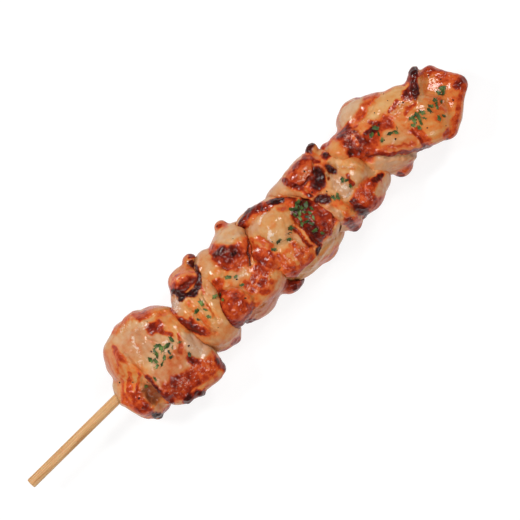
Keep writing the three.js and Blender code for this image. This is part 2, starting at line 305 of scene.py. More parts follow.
                (0.78, 2, (92.2, -4.4)), (0.76, 2, (87.6, 0.4), (91, 0.6)),
                (0.36, 3, (95.6, -7), (97, -9)), (0.42, 8, (99, -4), (104, -6)), (0.66, 2.4, (98, -2.6)),
                (0.64, 2.6, (101, -3.4), (102.4, -2.6)), (0.7, 2.6, (104.4, -1.6), (105.4, -4)),
                (0.64, 2, (98.6, -6)), (0.68, 2.4, (102, -6.6), (103.4, -6)),
                (0.62, 2, (100.4, -8.8), (101.6, -9.4)), (0.66, 2, (105, -8)),
                (0.22, 4, (97.4, 1.4), (100, 0.8)), (0.22, 3, (105.6, -10.6), (109, -10.8)),
                (0.44, 3, (89, -13.2), (104, -13.2)), (0.9, 2, (88.6, -12.6), (91, -13.6)),
                (0.66, 8, (102, 6), (105, 7)), (0.5, 4, (106.6, 6.4), (107, 9)),
                (0.56, 2.4, (97, 12.4), (98.6, 14)), (0.82, 7.6, (99.6, 9), (101, 8)),
                (0.74, 2, (97, 10), (97, 6), (99, 4.6)), (0.6, 3, (99.6, 4), (102.6, 3.4)),
                (0.1, 6, (104, 13), (110, 11.6)), (0.44, 3, (105, 17.4), (106.6, 17)),
                (0.6, 1.2, (104.2, 17.4), (108, 16.6)), (0.64, 5, (108, -13.6), (111.6, -14)),
                (0.8, 1.6, (108.4, -15.6), (112, -15.8)),
            ],
            "char": [
                (0.6, 2, (97.6, 11), (100.6, 10.6)), (0.95, 2, (101.8, 7.4), (102.4, 7)),
                (0.5, 1.6, (103, 9.4), (102.8, 8)), (0.75, 0.8, (103.7, 1), (106.7, 5), (110, 7.1)),
                (0.7, 1, (104.4, 18.2)), (0.8, 1.4, (89.6, 10.4), (90.2, 13.6)),
            ],
            "fat_and_highlight": [
                (0.5, 1.6, (97.4, 1), (100.6, -0.4)), (0.2, 5, (99, -4), (105, -5)),
                (0.4, 1.2, (96.8, -4), (98, -4.6)), (0.4, 1, (100.6, 2.6), (101.6, 1)),
                (0.3, 0.7, (90, -12), (97, -11.8)), (0.4, 1, (98.6, 10.8), (99.6, 10)),
                (0.45, 1, (100.6, 9.4), (101.6, 8.8)),
            ],
            "height": [
                (-1.0, 1.2, (83.6, -4), (85.6, 0), (89, 1.4), (93.6, 0.4), (96.2, -3), (96.4, -8),
                 (94, -11.8)),
                (0.7, 2.2, (90.2, 13), (89.6, 7), (88.4, 2)), (-0.9, 1.2, (96, 7), (97.8, 4), (101, 2.8)),
                (-0.9, 1, (103.5, 1), (106.6, 5), (110, 7.2)),
                (0.8, 2.2, (106.4, -1.4), (108, -6), (108.6, -10)),
                (-0.5, 1, (103.4, 11.6), (105, 9), (104.6, 6)),
                (0.6, 1.6, (97.6, 11), (100.6, 11), (103, 9.4)), (-0.7, 1.6, (100.6, 9)),
                (-0.6, 1, (88.6, -12.2), (98, -11.9)),
            ],
        },
    },
    "chicken_4": {
        "folds": [
            {"at": (120.5, -1.2, 12), "size": (29, 27.6, 25), "square": 2.3},
            {"at": (118, 3.2, 15.4), "size": (22, 20.4, 22.4), "yaw": -15},
            {"at": (118, 11.2, 15.4), "size": (20, 4.8, 8.4), "yaw": -20, "bend": -40},
            {"at": (109, -1, 14), "size": (12.5, 15, 20), "yaw": 20},
            {"at": (115.4, -7.6, 14), "size": (14.5, 13, 19), "yaw": -10},
            {"at": (129, -4, 15.2), "size": (14.4, 17.6, 20), "yaw": 10, "square": 2.6},
            {"at": (122.3, -4.5, 16.8), "size": (14, 5, 14), "yaw": 76},
            {"at": (122, -11, 8.5), "size": (27, 10, 17)},
            {"at": (125, -14.4, 7), "size": (10, 4.8, 8)},
        ],
        "pressedBy": [],
        "parsley": [
            ((128, 0.6), (3.4, 4.6), 16), ((118.4, -0.9), (6, 1.8), 5), ((127.4, -8.4), (0.8, 3.8), 2),
        ],
        "grain": 60,
        "base": {"brown": 0.24, "gold": 0.75},
        "strokes": {
            "gold": [
                (0.8, 13, (116, 5), (122, 4)), (0.2, 3, (111, 9), (114, 9)),
                (0.3, 2, (120.8, 0), (120.8, -8)), (0.8, 3, (111, -14.4), (135, -13.6)),
            ],
            "brown": [
                (0.17, 12, (116, 5), (122, 4)), (0.5, 2, (111.6, 11.4), (117, 11.6), (121, 10.6)),
                (0.84, 2.2, (110.8, 12), (112.2, 13.2), (115.4, 13.2), (118.6, 12.6), (121, 11.8)),
                (0.6, 2, (121, 11.4), (123, 11)), (0.86, 2.6, (123, 10.4), (126, 8.4), (128, 6)),
                (0.5, 3, (124, 7), (127, 5)), (0.58, 6, (107, 3), (109, -1), (109, -6)),
                (0.7, 1.6, (106, 2), (108, -2)), (0.7, 1.6, (110.6, -1), (111, -5)),
                (0.44, 2, (106, 5.6), (109.6, 6)), (0.5, 2.2, (111.6, 5), (112.4, 0)),
                (0.48, 8, (113, -7), (119, -8)), (0.6, 3, (111.6, -11), (119, -12)),
                (0.66, 1.6, (112.4, -12.4), (118, -13)), (0.56, 1.8, (112.4, -3), (112, -9)),
                (0.56, 1.6, (117.6, -4), (117, -11)), (0.32, 1.2, (115, -5), (115, -10)),
                (0.2, 1.6, (120.6, 0), (120.8, -7)), (0.7, 1.4, (122.2, -1), (122, -9)),
                (0.26, 1.2, (123.6, -0.6), (123.4, -6)), (0.78, 9, (128.6, 0), (129.6, -6)),
                (0.74, 5, (132.4, -1), (132.6, -7)), (0.64, 2.4, (133, -8), (130, -10.4)),
                (0.9, 3, (126.2, -3), (126.4, -9)), (0.86, 1.6, (124.8, -2), (124.4, -11)),
                (0.98, 4, (127, 2.4), (131, 2.6)), (0.24, 2.4, (112, -14.4), (128, -14), (135, -10)),
                (0.46, 2.2, (121, -15.8), (129, -15.6)),
            ],
            "char": [
                (0.7, 1.4, (111.4, 13.6), (115, 13.9), (116.6, 13.4)),
                (0.95, 2, (123.6, 10), (125.8, 8.4)), (0.5, 3, (127.4, 2.6), (130.4, 2.8)),
                (0.9, 1.8, (122, -12.6), (123.2, -11.6)),
            ],
            "fat_and_highlight": [
                (0.64, 1.3, (113.6, 1), (116.8, 4.6)), (0.62, 1.2, (115.8, 8.6), (119, 10.2)),
                (0.7, 1.6, (125.4, 3.4)), (0.5, 1, (107, 3.6), (108.6, 2.4)),
                (0.4, 1, (118, -3), (119.6, -4.6)), (0.2, 2.4, (127, -9.6), (131.6, -8)),
                (0.24, 4, (114, -6), (119, -8)),
            ],
            "height": [
                (0.8, 2, (110.8, 12), (112.2, 13.2), (115.4, 13.4), (118.6, 12.8), (121, 11.8)),
                (-0.8, 1.2, (111.4, 10.6), (117, 10.9), (122, 9.6)),
                (0.7, 1.8, (122.6, 10.6), (126, 8.4), (128, 6)), (0.4, 2.4, (113.4, 0.6), (117, 5)),
                (-0.5, 1.6, (112, 6), (113.2, -1), (119, -2.6)), (-0.35, 1.2, (112.4, -3), (112, -11)),
                (-0.35, 1.2, (117.6, -4), (117, -11)), (-0.7, 1, (119.6, -1), (119.6, -9)),
                (-0.9, 0.9, (122.2, 0), (122, -10)), (-0.9, 1, (124.6, 1), (124.4, -11)),
                (0.5, 3, (127, -2), (127, -9)), (0.8, 2.2, (106.8, -1.4), (108.4, -6), (109, -10)),
                (0.7, 2.2, (134.2, 2), (134.6, -4), (133.6, -9)), (-0.2, 1.4, (130, -2), (130, -9)),
                (-0.8, 1, (111, -13.6), (122, -13.4), (130, -11.8), (135, -7)),
            ],
        },
    },
    "chicken_5": {
        "folds": [
            {"at": (141.6, -1.4, 12), "size": (28, 26.8, 24.6), "square": 2.4},
            {"at": (136.7, 9.6, 14), "size": (15.4, 10.4, 18.4), "yaw": 6, "square": 2.8},
            {"at": (128.5, 10, 10.5), "size": (16, 8.8, 18), "yaw": 4},
            {"at": (144.2, 13.2, 16.5), "size": (6.6, 4, 5.6), "yaw": 35},
            {"at": (146.5, 8.7, 20), "size": (3.2, 3.2, 4)},
            {"at": (145, 4.6, 23), "size": (3.4, 3.4, 4)},
            {"at": (135.5, 4.2, 16.4), "size": (9, 7, 14)},
            {"at": (140, 4.5, 17), "size": (8, 11, 15), "yaw": -30},
            {"at": (147, -1, 15.4), "size": (15, 14, 19.6), "yaw": -12, "square": 2.3},
            {"at": (147.6, -9.4, 13.4), "size": (17, 12.4, 20.6), "yaw": 8},
            {"at": (138, -6, 14), "size": (11, 15.4, 20.4)},
            {"at": (137.8, -13.6, 9.5), "size": (5.6, 6.2, 8)},
            {"at": (153, -7.6, 10.5), "size": (11.4, 12.4, 17)},
        ],
        "pressedBy": ["chicken_4", "chicken_6"],
        "parsley": [((139.6, -2.9), (1.7, 0.9), 3), ((145.4, -1.6), (0.9, 2.4), 3)],
        "grain": 110,
        "base": {"brown": 0.3, "gold": 0.7},
        "strokes": {
            "gold": [
                (0.3, 5, (122, 12.6), (131, 12.6)), (0.5, 4, (129, 9.6), (130, 6)),
                (0.2, 3, (135.6, 9.6), (139, 10)), (1, 3, (134.8, 5), (135.8, 4)),
                (0.4, 9, (145, -1), (150, -2)), (0.1, 3, (143.6, 0.6), (143, -5)),
                (0.9, 5, (149, 2.4), (152.6, -1)), (1, 6, (146, -10), (151, -9)),
                (0.3, 3.6, (151, -12), (157, -11)), (0.9, 4.6, (138.4, -5.4), (139, -11)),
                (0.2, 2.4, (135.4, -5), (135.6, -10.6)),
            ],
            "brown": [
                (0.2, 4.6, (122, 12.6), (131, 12.4)), (0.3, 3.6, (129, 9.6), (130, 6)),
                (0.58, 6, (134, 10.4), (140, 10.8)), (0.46, 3, (135.6, 9.6), (139, 10)),
                (0.76, 1.8, (131.2, 12.6), (132.2, 9)), (0.7, 1.6, (136, 12.8), (142, 13)),
                (0.2, 1.2, (131, 14.4), (141, 14.8)), (0.88, 1.6, (132.4, 8.6), (133.8, 6), (134, 3)),
                (0.8, 1.2, (134, 7.2), (138, 7.4)), (0.46, 3, (134.8, 5), (135.8, 4)),
                (0.95, 4.6, (138.4, 4.4), (141, 6.6)), (0.66, 2.6, (142, 12.8), (143.6, 13.6)),
                (0.44, 3, (143.6, 11), (144, 7)), (0.7, 1.2, (143, 11.6), (143.6, 9)),
                (0.88, 2.6, (146.4, 8.8)), (0.22, 8, (144, -1), (150, -2)),
                (0.14, 3, (143.6, 0.6), (143, -5)), (0.3, 4, (149, 2.4), (152.6, -1)),
                (0.74, 1.4, (147, -0.4), (146.2, -4)), (0.62, 5.4, (144, -9.6), (152, -8)),
                (0.66, 6, (145, -12.6), (149, -12.4)), (0.88, 3, (142.4, -9), (142.6, -14)),
                (0.5, 1.8, (145, -15.6), (149, -15)), (0.94, 2, (152.6, -8.4), (155, -8.8)),
                (0.22, 3.4, (151, -12), (157, -11)), (0.2, 4, (154, -5), (157, -6)),
                (0.66, 1.2, (154.6, -13.6), (157, -13.2)), (0.4, 4.4, (138.4, -5.4), (139, -11)),
                (0.26, 2.4, (135.4, -5), (135.6, -10.6)), (0.8, 3, (136.4, -11.6), (137.2, -15.6)),
                (0.54, 2.2, (139, -13), (139.2, -16)),
            ],
            "char": [
                (0.9, 3.2, (139.6, 5), (141.2, 7)), (0.5, 2, (137.4, 4), (138.8, 3)),
                (0.85, 3, (135, 0.6), (136.6, -1.4)), (0.85, 2.2, (144.4, 14.2), (145.8, 14.8)),
                (0.5, 1.6, (146.6, 9.2)), (0.95, 2.6, (145, 5.6), (144.8, 3.6)), (0.6, 1.4, (142, 2.8)),
                (0.65, 2.6, (142, -10.6), (142.8, -14)), (0.4, 1.2, (153.6, -8.7), (155, -8.8)),
            ],
            "fat_and_highlight": [
                (0.3, 2.4, (135.4, 9.2), (139, 9.4)), (0.45, 1.4, (143.4, 0.8), (144, -3)),
                (0.5, 1.4, (141.6, -4.6), (144.6, -6)), (0.5, 0.9, (147, 3.6), (150.4, 0)),
                (0.24, 4, (144, -8.6), (149, -11)),
            ],
            "height": [
                (-1.1, 1.2, (131.8, 9), (133.4, 7.4), (140, 7.4), (142.6, 10)),
                (0.5, 1.4, (131, 13.6), (141.6, 14)), (-1, 1.1, (133.6, 7), (134, 2.4), (137, 2)),
                (-0.8, 1, (142.8, 7), (143, 2), (141, -1)),
                (0.8, 2.6, (148, 8), (152.4, 2.6), (155, -3), (157, -9)),
                (-0.4, 1.2, (147, 4), (150.6, 0)), (-0.9, 1, (141, -4), (140.9, -14.6)),
                (-0.4, 1.6, (141.6, -6.2), (148, -5.6), (154, -6.6)),
                (-0.7, 1, (136.6, -4), (136.7, -10.6), (139, -12)), (0.5, 1.6, (143.4, 1), (143.6, -4)),
                (0.8, 2.4, (134.8, 1), (135, -4), (134.4, -9)),
            ],
        },
    },
    "chicken_6": {
        "folds": [
            {"at": (167, 0.5, 11.4), "size": (37, 23, 23.6)},
            {"at": (171.5, -1.3, 15), "size": (34, 18.6, 16.4), "yaw": -33, "square": 3},
            {"at": (173, 4.6, 14.6), "size": (25, 13.6, 17), "yaw": -17},
            {"at": (169.5, 9.8, 13.4), "size": (18, 9, 16), "yaw": -30},
            {"at": (163.3, 11.2, 11), "size": (14.5, 11.6, 19)},
            {"at": (185.4, -4.8, 13.2), "size": (23.5, 17.5, 9.6), "yaw": 35, "pitch": 10, "square": 3.8},
            {"at": (184.2, 4.8, 16.8), "size": (13.6, 4.8, 8.4), "yaw": 47},
            {"at": (164.8, -7, 10), "size": (16, 11.5, 18)},
            {"at": (163, -12, 8), "size": (7.4, 5.4, 8.5)},
            {"at": (152.6, 6.6, 14), "size": (12, 11.4, 20)},
            {"at": (148.7, 11, 14), "size": (4, 3.2, 6)},
            {"at": (157.5, 4.5, 15.6), "size": (12, 15, 17), "yaw": 24},
        ],
        "pressedBy": [],
        "parsley": [
            ((163.4, 2), (2.6, 3), 4), ((168.6, -1.1), (2.6, 0.7), 3), ((176.6, -4), (3.2, 2.6), 9),
            ((184.2, -4.3), (3, 1.7), 6), ((189.3, -2.7), (2, 1), 4), ((183.2, -8.9), (1.5, 0.8), 2),
        ],
        "grain": -33,
        "close": 1.6,
        "base": {"brown": 0.36, "gold": 0.8},
        "strokes": {
            "gold": [
                (0.85, 8, (151, 8), (152, 3)), (0.3, 5, (159, 14), (167, 14.4)),
                (1, 5, (168, 8.6), (180, 7)), (0.5, 7, (166, -2.6), (172, -6.6)),
                (0.95, 8, (176, -9), (184, -10)), (0.8, 16, (190, -1), (192, -1)),
                (0.2, 2.4, (194.4, -5), (197, -4.4)), (0.6, 2, (182.6, 0.4), (187, 5.4)),
                (0.25, 6, (158.6, -5.4), (168, -10.4)),
                (0.6, 2.4, (157, -1), (165.7, -8), (174.6, -13.3)),
            ],
            "brown": [
                (0.3, 7, (151, 8), (152, 3)), (0.66, 1.4, (148, 11.6), (149.4, 11.6)),
                (0.5, 1.2, (150, 11.4), (156, 11.6)), (0.05, 5, (159, 14), (167, 14.4)),
                (0.36, 1, (157, 12.6), (158, 15), (162, 16.4), (168, 15.8)),
                (0.6, 5.6, (162, 3), (168, 2)), (0.7, 7, (156.6, 8), (156, 2.6), (159, 0)),
                (0.82, 2, (155, 10.6), (161, 10.8)), (0.84, 3, (153.6, 4), (155.4, 3)),
                (0.8, 2, (158, 6), (159.4, 2)), (0.46, 1.4, (157, 4.6), (157.4, 7)),
                (0.88, 1.8, (161, 4.6), (165, 3.6)), (0.74, 2, (165, 6.4), (168, 1.6)),
                (0.52, 3, (161, 10.4), (167, 11.4), (172, 13)), (0.6, 1.8, (168, 15.2), (170.4, 15)),
                (0.56, 1.8, (170, 13), (174, 11)), (0.16, 4.6, (168, 8.4), (180, 7)),
                (0.4, 5, (173.6, 3), (179, 3)), (0.66, 1.4, (172, 5), (176, 5.4)),
                (0.62, 1.4, (175, 1), (180, 0.6)), (0.6, 1.4, (178.4, 5), (180, 3)),
                (0.28, 7, (166, -2.6), (172, -6.6)), (0.56, 2, (160.6, -2), (170, -8.6)),
                (0.3, 7, (176.6, -9), (182, -10)), (0.44, 6, (183, -9), (188, -6)),
                (0.66, 1.2, (172.7, -5), (173, -11.6)), (0.52, 2, (174.2, -6), (174.6, -11)),
                (0.48, 14, (190, -1), (192, -1.6)), (0.53, 4, (190.6, 4.6), (195, -1), (196, -4)),
                (0.4, 4, (186, -1), (189, 2)), (0.8, 2.4, (194.4, -5), (197, -4.4)),
                (0.34, 3, (182, -11.6), (187, -10)), (0.57, 2, (195.6, -6.6), (182.6, -15.6)),
                (0.58, 2.4, (179.6, -14.8), (186, -12.8)), (0.62, 1, (186, 6.6), (191, 6), (195, 1)),
                (0.28, 1.6, (182.8, 0.4), (187, 5.4)), (0.86, 3, (180, 4.6), (183.6, 4.6), (186.6, 8)),
                (0.56, 1.6, (182.6, 8.2), (186, 9.2)), (0.2, 5.4, (158.4, -5.8), (168, -10.8)),
                (0.8, 1.8, (157, -1), (161, -4.5), (165.7, -8), (170.4, -11), (174.6, -13.3)),
                (0.48, 2.4, (160.4, -13), (166, -13)), (0.85, 1.4, (160, -12.4), (160.4, -14)),
            ],
            "char": [
                (0.5, 1.3, (161.4, 4.4), (164.6, 3.6)), (0.8, 1.4, (179.2, -15.8)),
                (0.8, 2.4, (181.4, 2), (183.4, 4)), (0.3, 1.8, (184, 5), (187, 7.6)),
                (0.85, 2, (187.4, 8.6), (188.4, 8.4)),
            ],
            "fat_and_highlight": [
                (0.34, 3.4, (156, 8.6), (158.6, 7)), (0.28, 2.6, (154, 7), (157.4, 3)),
                (0.34, 3.6, (173, 4), (179, 3)), (0.4, 1, (185, -5.6), (190, -5.8)),
                (0.4, 1, (148.6, 4), (152, 0)), (0.3, 1.4, (163, 8.4), (166, 6)),
            ],
            "height": [
                (-1.1, 1.2, (156, -1.4), (160.6, -6), (165.6, -9.6), (172, -13)),
                (0.5, 1.6, (157, 0), (161.4, -3.6), (166, -7.2), (171.4, -10.2)),
                (-0.5, 1, (172.7, -4.6), (173, -12)), (0.9, 2, (181, 1.6), (184.4, 5.4), (187.6, 8.4)),
                (-0.4, 1, (182.4, -0.4), (185.4, 3), (188.6, 6.6)),
                (-0.6, 1.1, (160, 9.4), (166, 9.6), (174, 11)),
                (0.8, 2.6, (148.4, 8), (152.8, 2.6), (155.4, -3), (157.4, -9)),
                (-0.5, 1.2, (153.4, 3), (153.4, 11)), (-0.7, 1.2, (160.4, 9), (160.6, 2)),
                (-0.5, 1.2, (161, 6), (170, 5), (180, 1)),
                (0.4, 1.6, (185.6, 7), (191.4, 5), (196.4, -3)), (1.1, 5, (197, -5.4)),
                (0.8, 3, (191.6, 5.6)),
            ],
        },
    },
}


meat = {
    "layers": ("brown", "char", "gold", "fat_and_highlight", "height"),
    # the first attribute holds brown, char and gold; the second holds the pale fat specks with painted
    # highlights, and the painted shade of creases and steep sides
    "attributes": {"cook": ("brown", "char", "gold"), "fat_highlight_and_shade": ("fat_and_highlight", "crease")},
    "softVoxel": 0.42,  # of the first joining of the folds
    "close": 0.6,  # creases are filled out to this radius
    "skinVoxel": 0.3,  # of the finished surface
    "gap": 0.06,  # between neighbours
    "stainEdge": 0.45,  # softness of a stain's edge
    "foldEdge": 0.9,  # softness of a ridge's edge
    "steepShade": 0.4,  # painted shade: how far steep sides are darkened in the colour, as creases are
    "swell": 0.5,
    "fold": 0.8,  # of the painted ridges and creases
    "roll": 0.32,  # slow unevenness
    "blister": 0.22,  # of the browned crust
    "crumb": 0.22,  # of the charred crust
    "fibre": 0.07,  # muscle strands on the pale flesh
}


def swellOf(x, y, z, seed):
    along = math.sin(0.62 * x + 0.35 * y + seed)
    across = math.sin(0.55 * y - 0.4 * z + 2.1 * seed)
    up = math.sin(0.58 * z + 0.33 * x + 3.7 * seed)
    return (along + across + up) / 3


def growFold(bm, fold, seed):
    half = Vector(fold["size"]) / 2
    square = fold.get("square", 2)
    meanSize = (fold["size"][0] * fold["size"][1] * fold["size"][2]) ** (1 / 3)
    depth = meat["swell"] * min(1, meanSize / 12)
    turn = Euler([math.radians(fold.get(t, 0)) for t in ("roll", "pitch", "yaw")]).to_matrix()
    verts = bmesh.ops.create_icosphere(bm, subdivisions=5, radius=1)["verts"]
    for vert in verts:
        out = vert.co.normalized()
        reach = sum(abs(c) ** square for c in out) ** (-1 / square)
        at = Vector([c * reach * h for c, h in zip(out, half)])
        at += out * depth * swellOf(*at, seed)
        if "bend" in fold:
            radius = fold["size"][0] / math.radians(fold["bend"])
            angle, arm = at.x / radius, radius - at.y
            at.x, at.y = arm * math.sin(angle), radius - arm * math.cos(angle)
        vert.co = placed(*(turn @ at + Vector(fold["at"])))


def modified(mesh, kind, **settings):  # the mesh after one modifier
    holder = bpy.data.objects.new("holder", mesh)
    bpy.context.collection.objects.link(holder)
    modifier = holder.modifiers.new("step", kind)
    for key, value in settings.items():
        setattr(modifier, key, value)
    graph = bpy.context.evaluated_depsgraph_get()
    made = bpy.data.meshes.new_from_object(holder.evaluated_get(graph))
    bpy.data.objects.remove(holder)
    return made


def remeshed(mesh, voxel):
    return modified(mesh, "REMESH", mode="VOXEL", voxel_size=voxel * mm, use_smooth_shade=True)


def coordinates(mesh):
    co = np.empty(len(mesh.vertices) * 3, np.float32)
    mesh.vertices.foreach_get("co", co)
    return co.reshape(-1, 3).astype(float)


def normalsOf(mesh):
    out = np.empty(len(mesh.vertices) * 3, np.float32)
    mesh.vertex_normals.foreach_get("vector", out)
    return out.reshape(-1, 3).astype(float)


def setCoordinates(mesh, co):
    mesh.vertices.foreach_set("co", co.astype(np.float32).ravel())
    mesh.update()


def inflated(mesh, distance):
    setCoordinates(mesh, coordinates(mesh) + normalsOf(mesh) * distance * mm)
    return mesh


def smoothed(mesh, factor, times):
    return modified(mesh, "SMOOTH", factor=factor, iterations=times)


def softBundle(name):  # folds grown together, their creases rounded
    bm = bmesh.new()
    for order, fold in enumerate(pieces[name]["folds"]):
        growFold(bm, fold, order + 1)
    mesh = remeshed(meshOf(bm, name), meat["softVoxel"])
    close = pieces[name].get("close", meat["close"])
    mesh = remeshed(inflated(mesh, close), meat["softVoxel"])
    mesh = remeshed(inflated(mesh, -close), meat["softVoxel"])
    return smoothed(mesh, 0.5, 3)


def cutBy(mesh, tools):
    for tool in tools:
        other = bpy.data.objects.new("tool", tool)
        bpy.context.collection.objects.link(other)
        mesh = modified(mesh, "BOOLEAN", operation="DIFFERENCE", solver="MANIFOLD", object=other)
        bpy.data.objects.remove(other)
    return mesh


def boreTool():  # the hole that the stick makes
    bm = bmesh.new()
    radius = (stickHigh.z - stickLow.z) / 2 + meat["gap"] * mm
    length = stickHigh.x - stickLow.x + 2 * meat["gap"] * mm
    middle = (stickLow + stickHigh) / 2
    turn = Matrix.Translation(middle) @ Matrix.Rotation(math.pi / 2, 4, "Y")
    bmesh.ops.create_cone(
        bm, cap_ends=True, segments=32, radius1=radius, radius2=radius, depth=length, matrix=turn)
    return meshOf(bm, "bore")


def strokeCover(plan, width, path, soft):  # 1 inside a stroke, easing to 0 outside it
    low, high = np.min(path, axis=0) - width * 2, np.max(path, axis=0) + width * 2
    near = np.flatnonzero(np.all((plan > low) & (plan < high), axis=1))
    apart = np.full(len(near), 1e9)
    for start, end in zip(path, path[1:] or path):
        start, way = np.array(start), np.subtract(end, start)
        share = np.clip((plan[near] - start) @ way / max(way @ way, 1e-9), 0, 1)
        apart = np.minimum(apart, np.linalg.norm(plan[near] - start - share[:, None] * way, axis=1))
    cover = np.zeros(len(plan))
    cover[near] = step(1 + soft, 1 - soft, apart / (width / 2))
    return cover


def cooked(piece, points, normals):  # how brown, charred and golden each point of the skin is
    warp = np.stack([lumps(points, 2.6, 11), lumps(points, 2.6, 12)], axis=1) * 0.6
    warp += np.stack([lumps(points, 1, 13), lumps(points, 1, 14)], axis=1) * 0.35
    plan = points[:, :2] + warp
    facing = step(-0.35, 0.1, normals[:, 2])
    layers = {key: np.full(len(points), float(piece["base"].get(key, 0))) for key in meat["layers"]}
    for layer, strokes in piece["strokes"].items():
        edge = meat["foldEdge"] if layer == "height" else meat["stainEdge"]
        for level, width, *path in strokes:
            layers[layer] += (level - layers[layer]) * strokeCover(plan, width, path, edge) * facing
    below = 1 - facing  # the side that lay on the grill
    under = 0.5 + 0.3 * lumps(points, 7, 21) + 0.15 * lumps(points, 2.5, 22)
    layers["brown"] += (np.clip(under, 0.15, 0.95) - layers["brown"]) * below
    layers["char"] += step(0.35, 0.8, lumps(points, 5, 23)) * 0.7 * below
    uneven = 0.07 * lumps(points, 1.5, 24) + 0.06 * lumps(points, 3.6, 25)
    uneven = uneven + 0.1 * lumps(alongGrain(piece, points), 1, 26)
    layers["brown"] = np.clip(np.maximum(layers["brown"] + uneven, 0.95 * layers["char"]), 0, 1)
    return layers


def alongGrain(piece, points):  # stretched so that noise makes strands about 1 mm across and 7 mm long
    c, s = math.cos(math.radians(piece["grain"])), math.sin(math.radians(piece["grain"]))
    return points @ np.array([[c, -s, 0], [s, c, 0], [0, 0, 1]]) / (7, 1, 1)


def relief(piece, points, layers):  # height of the crust over the soft form, in millimetres
    roll = lumps(points, 6, 31) + 0.5 * lumps(points, 3, 32)
    height = meat["fold"] * layers["height"] + meat["roll"] * roll
    crust = step(0.35, 0.8, layers["brown"])
    rough = 1 - np.abs(lumps(points, 1.7, 33)) * 1.6 + 0.5 * lumps(points, 0.8, 34)
    height += meat["blister"] * crust * (rough - 0.6)
    height += meat["crumb"] * layers["char"] * (lumps(points, 1.1, 35) + 0.6 * lumps(points, 0.6, 36))
    height += meat["fibre"] * (1 - crust) * lumps(alongGrain(piece, points), 1, 37)
    return height


def creaseOf(mesh):  # above 0 in hollows, below 0 on ridges
    flat = smoothed(mesh, 0.5, 50)
    apart = coordinates(flat) - coordinates(mesh)
    return np.sum(apart * normalsOf(mesh), axis=1) / mm


def finishSkin(name, soft, material):
    piece = pieces[name]
    tools = [inflated(soft[other].copy(), meat["gap"]) for other in piece["pressedBy"]] + [boreTool()]
    mesh = smoothed(remeshed(cutBy(soft[name], tools), meat["skinVoxel"]), 0.5, 2)
    co, normals = coordinates(mesh), normalsOf(mesh)
    points = (co - np.array(home)) / mm
    layers = cooked(piece, points, normals)
    co = co + normals * relief(piece, points, layers)[:, None] * mm
    co[:, 2] = np.maximum(co[:, 2], 0)  # flat where it lies on the table
    setCoordinates(mesh, co)
    crease = creaseOf(mesh)
    layers["brown"] = np.clip(layers["brown"] - 0.35 * np.minimum(crease, 0), 0, 1)
    # painted shade: hollows and steep sides are marked here for darkening in the colour
    layers["crease"] = np.maximum(step(0.05, 0.6, crease), meat["steepShade"] * step(0.65, 0.1, normals[:, 2]))
    for attribute, keys in meat["attributes"].items():
        rgba = np.ones((len(co), 4))
        for channel, key in enumerate(keys):
            rgba[:, channel] = layers[key]
        stored = mesh.attributes.new(attribute, "FLOAT_COLOR", "POINT")
        stored.data.foreach_set("color", rgba.astype(np.float32).ravel())
    skin = addObject(name + "_grilled", mesh, material)
    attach(skin, "root")
    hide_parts(name)
    print(name, len(mesh.polygons), "faces")
    return skin


thighFinish = {
    "mottle": 1.5,  # sizes of the patterns in millimetres
    "crumb": 0.7,
    "speck": 0.9,
    "wet": 1.3,
    "wetDepth": 0.18,
    "pinkStops": [
        (0.0, "#d0aa8d"), (0.25, "#cf9064"), (0.42, "#c76c3c"), (0.52, "#bd4e24"),
        (0.64, "#a73714"), (0.8, "#83200c"), (1.0, "#470c06")],
    "goldStops": [
        (0.0, "#e6b981"), (0.25, "#dc9958"), (0.42, "#e07a34"), (0.52, "#da5a24"),
        (0.64, "#b43710"), (0.8, "#861f09"), (1.0, "#470b05")],
    "burntStops": [(0.35, "#100504"), (0.7, "#4c1009")],
    # pale colour of the fat specks, which also serve as painted highlights
    "fat_and_highlight": "#f9e3cf",
    # colour of the painted shade in creases and on steep sides
    "crease": "#54200f",
}


